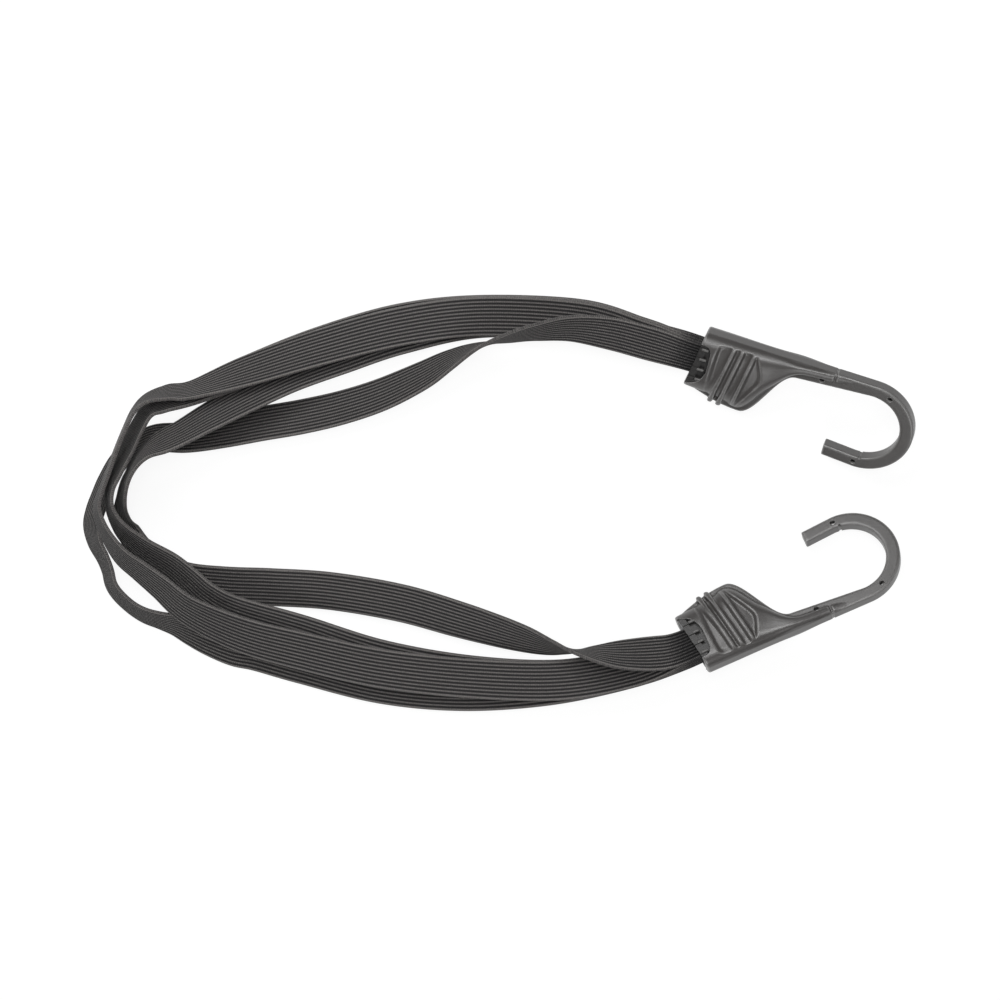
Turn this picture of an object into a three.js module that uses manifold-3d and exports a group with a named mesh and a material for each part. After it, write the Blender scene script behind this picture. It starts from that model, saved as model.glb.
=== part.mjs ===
// Bungee cord: four flat woven elastic bands gathered into a moulded hook at each end.
// Millimetres, +Z up. The cord lies on the ground in a U, as it is laid down by hand.
import * as THREE from 'three';
import { mergeVertices } from 'three/addons/utils/BufferGeometryUtils.js';
import Module from 'manifold-3d';

const wasm = await Module();
wasm.setup();

// Clearances
const FIT_GAP = 0.3;
const BAND_GAP = 0.35;

// Facets
const FACET_TOLERANCE = 0.03;
const ARC_FACETS = 10;
const EDGE_FACETS = 2;
const OUTLINE_FACETS = 8;
const GRIP_STATIONS = 24;
const GRIP_SIDES = 24;
const CORE_STEPS = 25;
const CORE_QUARTER_FACETS = 3;
const PIN_FACETS = 12;

// Elastic bands
const BAND_WIDTH = 18;
const BAND_THICKNESS = 1.6;
const NECK_WIDTH = 16;
const NECK_RUN = 25;
const BAND_STEPS = 72;

// Hook arm: a flat J with rounded edges, its outer line straight from mouth to bend
const HOOK_LENGTH = 101.5;
const HOOK_HEIGHT = 44;
const ARM_WIDTH = 5.6;
const ARM_DEPTH = 6.4;
const ARM_EDGE = 0.8;
const CREST_EXTRA = 0.8;
const TIP_LENGTH = 15.3;
const TIP_DROP = 1;

// Hook body: the arm widens to a hump, and a thicker grip swells out of its faces
const MOUTH_WIDTH = 28.4;
const MOUTH_DEPTH = 17.4;
const MOUTH_SLANT = 4.2;
const HUMP_HEIGHT = 34.6;
const HUMP_AT = 22.8;
const HUMP_EASE = 0.385;
const VALLEY_HEIGHT = 8.6;
const VALLEY_AT = 43.9;
const RIM_WIDTH = 2.3;
const SWELL_END = 74;
const GRIP_SQUARENESS = 2 / 3;

// Grip panel with sloping walls, and its fins, the first of which end in bumps on the hump
const PANEL_DEPTH = 1;
const PANEL_SLOPE = 1.2;
const PANEL_START = 7;
const PANEL_FOOT = 1.5;
const PANEL_HEEL = 26;
const PANEL_END = 30.7;
const PANEL_KNEE = 13;
const PANEL_TOP = 19.5;
const PANEL_CORNER = 4;
const FIN_FEET = [14.7, 18.6, 24.1];
const FIN_HEADS = [8.9, 13, 19.2];
const FIN_WIDTH = 1.5;
const FIN_BUMP = 1;
const BUMP_COUNT = 2;

// Socket, the jaws in it and the windows that show the jaws' ribbed heads
const SOCKET_DEPTH = 23;
const JAW_WIDTH = 17;
const JAW_THICKNESS = 1.7;
const JAW_INSET = 0.5;
const JAW_HEAD_WIDTH = 22;
const JAW_HEAD_LENGTH = 3;
const JAW_HEAD_RISE = 1.2;
const GROOVE_PITCH = 4;
const GROOVE_DEPTH = 0.6;
const RIB_COUNT = 4;
const RIB_PITCH = 5.3;
const RIB_WIDTH = 1.3;
const RIB_HEIGHT = 0.6;
const WINDOW_START = 4;
const WINDOW_END = 26.6;
const WINDOW_REACH = 5;
const WINDOW_CORNER = 4;

// Steel core of the arm, and the pin holes and notches that held it in the mould
const CORE_DIAMETER = 3;
const CORE_START = 30;
const CORE_TIP_COVER = 5;
const CORE_RISE = 5.1;
const PIN_HOLE = 2.4;
const SHANK_PIN_AT = 55.3;
const TIP_PIN_AT = -0.6;
const BEND_PIN_ANGLE = -1.19;
const NOTCH_WIDTH = 1.2;
const NOTCH_DEPTH = 0.6;
const NOTCH_REACH = 4.2;
const NOTCH_AT = 61;

// Where the hooks lie: the mouth's outer corner, the turn about Z, the climb along the hook and the roll
const HOOK_PLACES = [
  { name: 'hook_a', corner: [-39.3, 76.1, 21.4], turn: -18.4, pitch: 8.5, roll: 36.5, side: -1 },
  { name: 'hook_b', corner: [-39.2, -76.5, 22.6], turn: 23.6, pitch: 0.8, roll: 28.7, side: 1 },
];

// Bands from hook_a to hook_b: x, y, z of the middle and the lean of the width (0 flat, 90 on edge)
const BAND_ROUTES = [
  [
    [-69.3, 72.8, 12.2, -22], [-96.3, 80.4, 11, -10], [-141.3, 82.6, 11.1, 0], [-177.3, 78.1, 11.5, 8],
    [-213.3, 68.7, 12, 20], [-244.8, 58.4, 13.8, 35], [-269.6, 49.4, 18, 60], [-281, 47.7, 21, 66],
    [-290.4, 44.5, 24.5, 75], [-295.7, 39.3, 26, 78], [-299.7, 31, 26.5, 79], [-303.5, 21.7, 26.5, 79],
    [-307.7, 10.1, 26.5, 78], [-311, 1.6, 26.5, 76], [-311.9, -4.2, 26.5, 74],
    [-310.4, -10.4, 26.5, 71], [-306.8, -17.6, 26.5, 67], [-301, -25.4, 26.7, 61],
    [-293.2, -31.6, 26.3, 56], [-284, -39, 25, 50], [-271.5, -49.6, 22, 41], [-249.3, -60.5, 15.2, 25],
    [-222.3, -68.1, 12.5, 14], [-186.3, -76.2, 11.5, 5], [-145.8, -80.7, 11.5, 0],
    [-105.3, -81.6, 13, -8], [-73.8, -76.2, 15.5, -20],
  ],
  [
    [-69.3, 74.1, 9.8, -22], [-96.3, 81.8, 8.5, -10], [-141.3, 83.6, 8.6, 0], [-177.3, 79.9, 9, 8],
    [-213.3, 70.1, 9.3, 20], [-244.8, 58.8, 10.5, 36], [-269.6, 48, 15, 52], [-283.5, 42.9, 18.5, 61],
    [-290.1, 39.7, 20, 64], [-294.8, 32.5, 20, 63], [-299.2, 22.7, 20.5, 63], [-303.8, 11.7, 23.5, 68],
    [-306.4, 4.5, 25, 71], [-306.5, -2.9, 25.5, 73], [-303.9, -9.5, 25.2, 69],
    [-299.3, -15.6, 24.5, 61], [-290.3, -23, 23, 52], [-280.1, -29.7, 20.5, 45],
    [-272.8, -36.1, 18.5, 41], [-264.5, -43.8, 16.6, 36], [-251.8, -51.1, 13.3, 27],
    [-222.3, -60.5, 10.2, 16], [-186.3, -72.2, 9, 6], [-145.8, -79.4, 8.9, 0],
    [-105.3, -81.2, 10.4, -8], [-73.8, -75.3, 12.9, -20],
  ],
  [
    [-69.3, 73.2, 6.8, -22], [-96.3, 80.8, 5.9, -10], [-141.3, 82.2, 6.1, 0], [-177.3, 74.6, 6.5, 8],
    [-204.3, 65.1, 6.7, 18], [-226.8, 56.1, 9, 28], [-247.1, 45.7, 15, 35], [-262.8, 36.7, 21.5, 42],
    [-274.1, 30, 24.5, 48], [-283.1, 25.5, 25, 52], [-290.7, 21, 26, 66], [-296.1, 14.7, 25, 74],
    [-300, 6.6, 21, 75], [-302.2, -2.4, 13.5, 70], [-301.5, -11.4, 8.3, 52], [-296.1, -21.8, 6.7, 42],
    [-287.6, -30.8, 5.5, 32], [-274.1, -36.6, 4.5, 24], [-256.1, -38.9, 4, 18], [-235.8, -39.8, 4, 15],
    [-208.8, -41.6, 4, 15], [-177.3, -47, 4.5, 15], [-150.3, -54.6, 5.5, 22], [-123.3, -62.3, 10, 45],
    [-105.3, -66.8, 16, 75], [-91.8, -68.6, 20, 105], [-78.3, -69.5, 21.2, 132],
    [-62.6, -69, 19.2, 149],
  ],
  [
    [-64.8, 70.1, 15.5, 145], [-82.8, 74.6, 17.8, 141], [-100.8, 76.8, 19, 125],
    [-116.6, 75, 21.5, 110], [-128.7, 72.3, 21, 99], [-141.3, 68.7, 17.5, 82], [-154.8, 62.8, 12, 60],
    [-168.3, 55.6, 8.5, 43], [-186.3, 47.5, 6.2, 32], [-204.3, 41.7, 5.3, 28], [-222.3, 37.6, 5, 26],
    [-240.3, 34.5, 5, 26], [-258.3, 30.9, 5.5, 30], [-274.1, 28.2, 6.3, 38], [-288.9, 27.8, 7.2, 46],
    [-298.4, 22.9, 8.2, 54], [-305, 17, 8.3, 55], [-310, 8.4, 8.3, 55], [-313.1, 1.2, 8.3, 55],
    [-315.6, -5.6, 8.3, 55], [-316.9, -11.9, 8.6, 58], [-315.5, -19.4, 9, 63], [-311.9, -26.4, 9.2, 66],
    [-309.6, -32.3, 9.3, 67], [-308.2, -38.2, 9.3, 67], [-305.1, -43.1, 9.3, 67],
    [-299.2, -48.6, 9.3, 67], [-292.9, -52.4, 9.1, 65], [-285.9, -54.7, 8.8, 62],
    [-278.5, -56.8, 7.9, 53], [-271, -60, 6.4, 39], [-262.6, -63.7, 4.7, 26], [-252.3, -67.4, 3.3, 15],
    [-242.6, -69.3, 2.8, 11], [-222.3, -75, 2.8, 9], [-186.3, -83.9, 4, 8], [-150.3, -87, 5, 2],
    [-114.3, -84.8, 6.8, -6], [-82.8, -78.9, 9, -16],
  ],
];

// Order of the bands in each mouth, counted from the lowest, and how they fan out of it
const STACK_A = [2, 1, 0, 3];
const STACK_B = [3, 1, 0, 2];
const HALF_TURN_BANDS = { a: 3, b: 2 };
const INSIDE_STATIONS = [20, 5, -9];
const MOUTH_FAN = 1.08;

// Sizes that follow from the ones above
const BAND_COUNT = BAND_ROUTES.length;
const LAYER = BAND_THICKNESS + BAND_GAP;
const STACK_DEPTH = BAND_COUNT * LAYER - BAND_GAP;
const JAW_OFFSET = STACK_DEPTH / 2 + FIT_GAP + JAW_THICKNESS / 2;
const SOCKET_HEIGHT = STACK_DEPTH + 2 * (JAW_THICKNESS + 2 * FIT_GAP);
const SOCKET_WIDTH = JAW_WIDTH + 2 * FIT_GAP;
const SOCKET_HEAD_WIDTH = JAW_HEAD_WIDTH + 2 * FIT_GAP;
const JAW_HEAD_END = JAW_INSET + JAW_HEAD_LENGTH;
const MOUTH_MIDDLE = MOUTH_WIDTH / 2;
const BEND_RADIUS = HOOK_HEIGHT / 2;
const BEND_X = HOOK_LENGTH - BEND_RADIUS;
const TIP_X = BEND_X - TIP_LENGTH;
const FAR = 60;

const plastic = { color: 0x6f6f70, roughness: 0.55, metalness: 0 };
const jawPlastic = { color: 0x5c5c5d, roughness: 0.6, metalness: 0 };
const elastic = { color: 0x2e2c2b, roughness: 0.9, metalness: 0 };
const steel = { color: 0x9a9a9a, roughness: 0.35, metalness: 1 };

function toSolid(geometry) {
  const plain = geometry.clone();
  plain.deleteAttribute('normal');
  plain.deleteAttribute('uv');
  const merged = mergeVertices(plain, 1e-4);
  return new wasm.Manifold(new wasm.Mesh({
    numProp: 3,
    vertProperties: new Float32Array(merged.attributes.position.array),
    triVerts: new Uint32Array(merged.index.array),
  }));
}

function toGeometry(solid) {
  const mesh = solid.getMesh();
  const geometry = new THREE.BufferGeometry();
  geometry.setAttribute('position', new THREE.BufferAttribute(mesh.vertProperties, 3));
  geometry.setIndex(new THREE.BufferAttribute(mesh.triVerts, 1));
  geometry.computeVertexNormals();
  return geometry;
}

function box(length, width, height, x, y, z) {
  return toSolid(new THREE.BoxGeometry(length, width, height).translate(x, y, z));
}

function cylinder(radius, height, x, y, z, sides) {
  const geometry = new THREE.CylinderGeometry(radius, radius, height, sides);
  return toSolid(geometry.rotateX(Math.PI / 2).translate(x, y, z));
}

function prism(shape, height) {
  const settings = { depth: height, bevelEnabled: false, curveSegments: OUTLINE_FACETS };
  const geometry = new THREE.ExtrudeGeometry(shape, settings);
  return toSolid(geometry.translate(0, 0, -height / 2));
}

// Closed skin over a row of rings that all have the same number of points
function loft(rings) {
  const sides = rings[0].length;
  const points = rings.flat();
  const faces = [];
  for (let ring = 0; ring < rings.length - 1; ring += 1) {
    for (let side = 0; side < sides; side += 1) {
      const a = ring * sides + side;
      const b = ring * sides + (side + 1) % sides;
      faces.push(a, b, a + sides, b, b + sides, a + sides);
    }
  }
  const last = (rings.length - 1) * sides;
  for (let side = 1; side < sides - 1; side += 1) {
    faces.push(0, side + 1, side, last, last + side, last + side + 1);
  }
  const geometry = new THREE.BufferGeometry().setFromPoints(points);
  geometry.setIndex(faces);
  return geometry;
}

// Keeps what lies past the slanted mouth, moved inwards by a distance
function trimAtMouth(solid, inset) {
  const normal = new THREE.Vector2(MOUTH_WIDTH, MOUTH_SLANT).normalize();
  return solid.trimByPlane([normal.x, normal.y, 0], inset);
}

// Flat J of the hook, with the hump and the valley on its inner side
function armPlate() {
  const inner = BEND_RADIUS - ARM_WIDTH;
  const innerX = BEND_X - CREST_EXTRA;
  const shape = new THREE.Shape();
  shape.moveTo(0, 0);
  shape.lineTo(BEND_X, 0);
  shape.absarc(BEND_X, BEND_RADIUS, BEND_RADIUS, -Math.PI / 2, Math.PI / 2, false);
  shape.lineTo(TIP_X, HOOK_HEIGHT - TIP_DROP);
  shape.lineTo(TIP_X, HOOK_HEIGHT - TIP_DROP - ARM_WIDTH);
  shape.lineTo(innerX, HOOK_HEIGHT - ARM_WIDTH);
  shape.absarc(innerX, BEND_RADIUS, inner, Math.PI / 2, -Math.PI / 2, true);
  shape.lineTo(VALLEY_AT, VALLEY_HEIGHT);
  const ease = (VALLEY_AT - HUMP_AT) * HUMP_EASE;
  shape.bezierCurveTo(
    VALLEY_AT - ease, VALLEY_HEIGHT + ARM_EDGE,
    HUMP_AT + ease, HUMP_HEIGHT,
    HUMP_AT, HUMP_HEIGHT,
  );
  shape.quadraticCurveTo(HUMP_AT / 2, HUMP_HEIGHT, -MOUTH_SLANT, MOUTH_WIDTH);
  shape.lineTo(0, 0);
  const geometry = new THREE.ExtrudeGeometry(shape, {
    depth: ARM_DEPTH - 2 * ARM_EDGE,
    bevelThickness: ARM_EDGE,
    bevelSize: ARM_EDGE,
    bevelOffset: -ARM_EDGE,
    bevelSegments: EDGE_FACETS,
    curveSegments: ARC_FACETS,
  });
  return toSolid(geometry.translate(0, 0, ARM_EDGE - ARM_DEPTH / 2));
}

// Grip that swells out of both faces and runs out along the shank; thinner or wider by the given amounts
function swell(thinner, wider) {
  const midway = (HUMP_AT + VALLEY_AT) / 2;
  const halfArm = ARM_DEPTH / 2;
  const halfMouth = MOUTH_DEPTH / 2;
  const humpReach = HUMP_HEIGHT - RIM_WIDTH;
  const profile = new THREE.CatmullRomCurve3([
    new THREE.Vector3(-2 * MOUTH_SLANT, MOUTH_WIDTH, halfMouth),
    new THREE.Vector3(HUMP_AT / 2, (MOUTH_WIDTH + humpReach) / 2, halfMouth),
    new THREE.Vector3(HUMP_AT, humpReach, halfMouth - ARM_EDGE / 2),
    new THREE.Vector3(midway, (humpReach + VALLEY_HEIGHT) / 2 - RIM_WIDTH, (2 * halfMouth + halfArm) / 3),
    new THREE.Vector3(VALLEY_AT, VALLEY_HEIGHT - RIM_WIDTH, (halfMouth + halfArm) / 2),
    new THREE.Vector3((VALLEY_AT + SWELL_END) / 2, ARM_WIDTH - ARM_EDGE, halfArm + ARM_EDGE),
    new THREE.Vector3(SWELL_END, ARM_WIDTH / 2, halfArm - ARM_EDGE / 2),
  ]);
  const rings = [];
  for (let station = 0; station <= GRIP_STATIONS; station += 1) {
    const { x, y, z } = profile.getPoint(station / GRIP_STATIONS);
    const reach = (y + wider) / 2;
    const ring = [];
    for (let side = 0; side < GRIP_SIDES; side += 1) {
      const angle = 2 * Math.PI * side / GRIP_SIDES;
      const across = Math.sign(Math.cos(angle)) * Math.abs(Math.cos(angle)) ** GRIP_SQUARENESS;
      const up = Math.sign(Math.sin(angle)) * Math.abs(Math.sin(angle)) ** GRIP_SQUARENESS;
      ring.push(new THREE.Vector3(x, reach * (1 + across), (z - thinner) * up));
    }
    rings.push(ring);
  }
  return toSolid(loft(rings));
}

// Shield-shaped grip panel, open on the hump side; smaller by an inset
function panelOutline(inset) {
  const start = PANEL_START + inset;
  const foot = PANEL_FOOT + inset;
  const heel = new THREE.Vector2(PANEL_HEEL - inset, foot);
  const knee = new THREE.Vector2(PANEL_END - inset, PANEL_KNEE);
  const top = new THREE.Vector2(PANEL_TOP - inset, HUMP_HEIGHT);
  const ease = PANEL_CORNER / heel.distanceTo(knee);
  const lower = heel.clone().lerp(knee, ease);
  const upper = heel.clone().lerp(knee, 1 - ease);
  const past = knee.clone().lerp(top, PANEL_CORNER / knee.distanceTo(top));
  const shape = new THREE.Shape();
  shape.moveTo(start, HUMP_HEIGHT);
  shape.lineTo(start, foot + PANEL_CORNER);
  shape.quadraticCurveTo(start, foot, start + PANEL_CORNER, foot);
  shape.lineTo(heel.x - PANEL_CORNER / 2, foot);
  shape.quadraticCurveTo(heel.x, heel.y, lower.x, lower.y);
  shape.lineTo(upper.x, upper.y);
  shape.quadraticCurveTo(knee.x, knee.y, past.x, past.y);
  shape.lineTo(top.x, top.y);
  shape.closePath();
  return shape;
}

function panelCut() {
  const rim = prism(panelOutline(0), FAR).subtract(swell(PANEL_DEPTH / 2, 0));
  const floor = prism(panelOutline(PANEL_SLOPE), FAR).subtract(swell(PANEL_DEPTH, 0));
  return rim.add(floor);
}

function fins() {
  const stretched = swell(0, RIM_WIDTH + FIN_BUMP);
  const bars = FIN_FEET.map((foot, index) => {
    const head = FIN_HEADS[index];
    const reach = index < BUMP_COUNT ? HUMP_HEIGHT + FIN_BUMP : HUMP_HEIGHT - RIM_WIDTH;
    const bar = new THREE.Shape();
    bar.moveTo(foot - FIN_WIDTH / 2, PANEL_FOOT);
    bar.lineTo(foot + FIN_WIDTH / 2, PANEL_FOOT);
    bar.lineTo(head + FIN_WIDTH / 2, reach);
    bar.lineTo(head - FIN_WIDTH / 2, reach);
    bar.closePath();
    return prism(bar, FAR);
  });
  return wasm.Manifold.union(bars).intersect(stretched);
}

// Middle line of the steel core: along the shank, round the bend and back towards the tip
function coreLine() {
  const radius = BEND_RADIUS - ARM_WIDTH / 2;
  const points = [];
  const shankSteps = 5;
  for (let step = 0; step < shankSteps; step += 1) {
    const share = step / shankSteps;
    const x = CORE_START + share * (BEND_X - CORE_START);
    points.push(new THREE.Vector3(x, ARM_WIDTH / 2 + (1 - share) * CORE_RISE, 0));
  }
  const bendSteps = 12;
  for (let step = 0; step <= bendSteps; step += 1) {
    const angle = -Math.PI / 2 + Math.PI * step / bendSteps;
    const x = BEND_X + radius * Math.cos(angle);
    points.push(new THREE.Vector3(x, BEND_RADIUS + radius * Math.sin(angle), 0));
  }
  const tipShare = (TIP_LENGTH - CORE_TIP_COVER) / TIP_LENGTH;
  const tipY = HOOK_HEIGHT - ARM_WIDTH / 2 - tipShare * TIP_DROP;
  points.push(new THREE.Vector3(TIP_X + CORE_TIP_COVER, tipY, 0));
  return new THREE.CatmullRomCurve3(points);
}

function coreRod(radius) {
  const section = new THREE.Shape().absarc(0, 0, radius, 0, 2 * Math.PI, false);
  return new THREE.ExtrudeGeometry(section, {
    steps: CORE_STEPS,
    extrudePath: coreLine(),
    bevelEnabled: false,
    curveSegments: CORE_QUARTER_FACETS,
  });
}

// Pin holes through both faces down to the core, and the notches in the sides of the arm
function coreMarks() {
  const radius = BEND_RADIUS - ARM_WIDTH / 2;
  const shankShare = (SHANK_PIN_AT - CORE_START) / (BEND_X - CORE_START);
  const holes = [
    [SHANK_PIN_AT, ARM_WIDTH / 2 + (1 - shankShare) * CORE_RISE],
    [BEND_X + radius * Math.cos(BEND_PIN_ANGLE), BEND_RADIUS + radius * Math.sin(BEND_PIN_ANGLE)],
    [BEND_X + TIP_PIN_AT, HOOK_HEIGHT - ARM_WIDTH / 2],
  ].map(([x, y]) => cylinder(PIN_HOLE / 2, FAR, x, y, 0, PIN_FACETS));
  const sunk = swell(NOTCH_DEPTH, -2 * NOTCH_DEPTH).translate([0, NOTCH_DEPTH, 0]);
  const outerNotch = box(NOTCH_WIDTH, 2 * NOTCH_REACH, FAR, NOTCH_AT, 0, 0).subtract(sunk);
  const tipNotchX = BEND_X + TIP_PIN_AT + PIN_HOLE;
  const tipNotch = box(NOTCH_WIDTH, 2 * NOTCH_DEPTH, FAR, tipNotchX, HOOK_HEIGHT - ARM_WIDTH, 0);
  return wasm.Manifold.union([...holes, outerNotch, tipNotch]);
}

// Window at the mouth, smaller by an inset
function windowOutline(inset) {
  const outside = -2 * MOUTH_SLANT;
  const start = WINDOW_START + inset;
  const end = WINDOW_END - inset;
  const reach = WINDOW_REACH - inset;
  const shape = new THREE.Shape();
  shape.moveTo(outside, start);
  shape.lineTo(reach - WINDOW_CORNER, start);
  shape.quadraticCurveTo(reach, start, reach, start + WINDOW_CORNER);
  shape.lineTo(reach, MOUTH_MIDDLE);
  shape.quadraticCurveTo(reach, end, outside, end);
  shape.closePath();
  return shape;
}

// Both windows, cut down to the heads of the jaws
function windows() {
  const between = box(FAR, FAR, SOCKET_HEIGHT - 2 * FIT_GAP, 0, 0, 0);
  return prism(windowOutline(0), FAR).subtract(between);
}

function hookBody() {
  const plate = armPlate();
  const panel = panelCut().subtract(plate);
  const socketLength = SOCKET_DEPTH + 2 * MOUTH_SLANT;
  const socketX = SOCKET_DEPTH - socketLength / 2;
  const socket = box(socketLength, SOCKET_WIDTH, SOCKET_HEIGHT, socketX, MOUTH_MIDDLE, 0);
  const headLength = JAW_HEAD_END + FIT_GAP + 2 * MOUTH_SLANT;
  const headX = JAW_HEAD_END + FIT_GAP - headLength / 2;
  const socketHead = box(headLength, SOCKET_HEAD_WIDTH, SOCKET_HEIGHT, headX, MOUTH_MIDDLE, 0);
  const shell = plate.add(swell(0, 0)).subtract(panel).add(fins());
  const bored = shell.subtract(socket.add(socketHead)).subtract(windows()).subtract(coreMarks());
  const channel = toSolid(coreRod(CORE_DIAMETER / 2 + FIT_GAP));
  return toGeometry(trimAtMouth(bored.subtract(channel), 0).simplify(FACET_TOLERANCE));
}

// One jaw: a tongue with grip grooves towards the bands, and a wider, raised head with ribs
function clampJaw(face) {
  const end = SOCKET_DEPTH - FIT_GAP;
  const bandFace = JAW_OFFSET - JAW_THICKNESS / 2;
  const outerFace = JAW_OFFSET + JAW_THICKNESS / 2;
  const outside = 2 * MOUTH_SLANT;
  const tongueLength = end + outside;
  const tongueX = end - tongueLength / 2;
  const tongue = box(tongueLength, JAW_WIDTH, JAW_THICKNESS, tongueX, MOUTH_MIDDLE, JAW_OFFSET);
  const headLength = JAW_HEAD_END + outside;
  const headX = JAW_HEAD_END - headLength / 2;
  const base = box(headLength, JAW_HEAD_WIDTH, JAW_THICKNESS, headX, MOUTH_MIDDLE, JAW_OFFSET);
  const raised = [box(headLength, JAW_HEAD_WIDTH, 2 * JAW_HEAD_RISE, headX, MOUTH_MIDDLE, outerFace)];
  for (let index = 0; index < RIB_COUNT; index += 1) {
    const y = MOUTH_MIDDLE + (index - (RIB_COUNT - 1) / 2) * RIB_PITCH;
    raised.push(box(headLength, RIB_WIDTH, 2 * (JAW_HEAD_RISE + RIB_HEIGHT), headX, y, outerFace));
  }
  const shown = wasm.Manifold.union(raised).intersect(prism(windowOutline(FIT_GAP), FAR));
  const block = base.add(shown);
  const head = block.subtract(trimAtMouth(block, JAW_HEAD_END));
  const grooves = [];
  for (let x = GROOVE_PITCH; x < end - GROOVE_PITCH / 2; x += GROOVE_PITCH) {
    const groove = cylinder(GROOVE_DEPTH, JAW_WIDTH + 2 * FIT_GAP, 0, 0, 0, 4);
    grooves.push(groove.rotate([90, 0, 0]).translate([x, MOUTH_MIDDLE, bandFace]));
  }
  const grooved = tongue.subtract(wasm.Manifold.union(grooves));
  const jaw = trimAtMouth(grooved.add(head), JAW_INSET);
  return toGeometry(face > 0 ? jaw : jaw.mirror([0, 0, 1]));
}

function namedMesh(name, geometry, look) {
  const mesh = new THREE.Mesh(geometry, new THREE.MeshStandardMaterial(look));
  mesh.name = name;
  return mesh;
}

// Frame of a hook: x along its length, y towards its open side, z across its thickness
function hookFrame({ corner, turn, pitch, roll, side }) {
  const yaw = THREE.MathUtils.degToRad(turn);
  const climb = THREE.MathUtils.degToRad(pitch);
  const tilt = THREE.MathUtils.degToRad(roll);
  const flat = new THREE.Vector3(Math.cos(yaw), Math.sin(yaw), 0);
  const along = flat.multiplyScalar(Math.cos(climb)).add(new THREE.Vector3(0, 0, Math.sin(climb)));
  const level = new THREE.Vector3(-Math.sin(yaw), Math.cos(yaw), 0).multiplyScalar(side);
  const fall = new THREE.Vector3().crossVectors(level, along).multiplyScalar(side);
  const open = level.multiplyScalar(Math.cos(tilt)).addScaledVector(fall, Math.sin(tilt));
  const across = new THREE.Vector3().crossVectors(along, open);
  return new THREE.Matrix4().makeBasis(along, open, across).setPosition(...corner);
}

function hook(place) {
  const group = new THREE.Group();
  group.applyMatrix4(hookFrame(place));
  group.add(
    namedMesh(`${place.name}_body`, hookBody(), plastic),
    namedMesh(`${place.name}_steel_core`, coreRod(CORE_DIAMETER / 2), steel),
    namedMesh(`${place.name}_clamp_front`, clampJaw(1), jawPlastic),
    namedMesh(`${place.name}_clamp_back`, clampJaw(-1), jawPlastic),
  );
  return group;
}

// Stations of a band inside one hook's socket, as x, y, z and lean
function socketStations(place, layer, lean) {
  const frame = hookFrame(place);
  const level = place.side * (layer - (BAND_COUNT - 1) / 2) * LAYER;
  return INSIDE_STATIONS.map((x) => {
    const height = x < 0 ? level * MOUTH_FAN : level;
    const point = new THREE.Vector3(x, MOUTH_MIDDLE, height).applyMatrix4(frame);
    return [point.x, point.y, point.z, lean];
  });
}

function bandStations(index) {
  const [placeA, placeB] = HOOK_PLACES;
  const leanA = index === HALF_TURN_BANDS.a ? 180 - placeA.roll : -placeA.roll;
  const leanB = index === HALF_TURN_BANDS.b ? 180 - placeB.roll : -placeB.roll;
  const start = socketStations(placeA, STACK_A.indexOf(index), leanA);
  const end = socketStations(placeB, STACK_B.indexOf(index), leanB).reverse();
  return [...start, ...BAND_ROUTES[index], ...end];
}

// A flat band swept along its stations, narrowed at both ends where the sockets gather it
function band(index) {
  const stations = bandStations(index);
  const middle = new THREE.CatmullRomCurve3(
    stations.map(([x, y, z]) => new THREE.Vector3(x, y, z)), false, 'catmullrom', 0.5);
  const leans = new THREE.CatmullRomCurve3(
    stations.map(([, , , lean]) => new THREE.Vector3(lean, 0, 0)), false, 'catmullrom', 0.5);
  const length = middle.getLength();
  const neck = INSIDE_STATIONS[0];
  const halfThickness = BAND_THICKNESS / 2;
  const rings = [];
  for (let step = 0; step <= BAND_STEPS; step += 1) {
    const share = step / BAND_STEPS;
    const t = middle.getUtoTmapping(share);
    const point = middle.getPoint(t);
    const tangent = middle.getTangent(t);
    const lean = THREE.MathUtils.degToRad(leans.getPoint(t).x);
    const inwards = new THREE.Vector3(-tangent.y, tangent.x, 0).normalize();
    const across = inwards.multiplyScalar(Math.cos(lean)).add(new THREE.Vector3(0, 0, Math.sin(lean)));
    across.addScaledVector(tangent, -across.dot(tangent)).normalize();
    const outwards = new THREE.Vector3().crossVectors(tangent, across);
    const fromEnd = length * Math.min(share, 1 - share);
    const spread = THREE.MathUtils.smoothstep(fromEnd, neck, neck + NECK_RUN);
    const half = THREE.MathUtils.lerp(NECK_WIDTH, BAND_WIDTH, spread) / 2;
    const flat = half - halfThickness;
    const section = [
      [-half, 0], [-flat, -halfThickness], [0, -halfThickness], [flat, -halfThickness],
      [half, 0], [flat, halfThickness], [0, halfThickness], [-flat, halfThickness],
    ];
    rings.push(section.map(([a, b]) => (
      point.clone().addScaledVector(across, a).addScaledVector(outwards, b)
    )));
  }
  return toGeometry(toSolid(loft(rings)));
}

const cord = new THREE.Group();
HOOK_PLACES.forEach((place) => cord.add(hook(place)));
BAND_ROUTES.forEach((route, index) => {
  cord.add(namedMesh(`elastic_band_${index + 1}`, band(index), elastic));
});

export default cord;
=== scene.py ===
import math
from bisect import bisect_left

import bmesh
import bpy
from mathutils import Matrix, Vector


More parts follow.
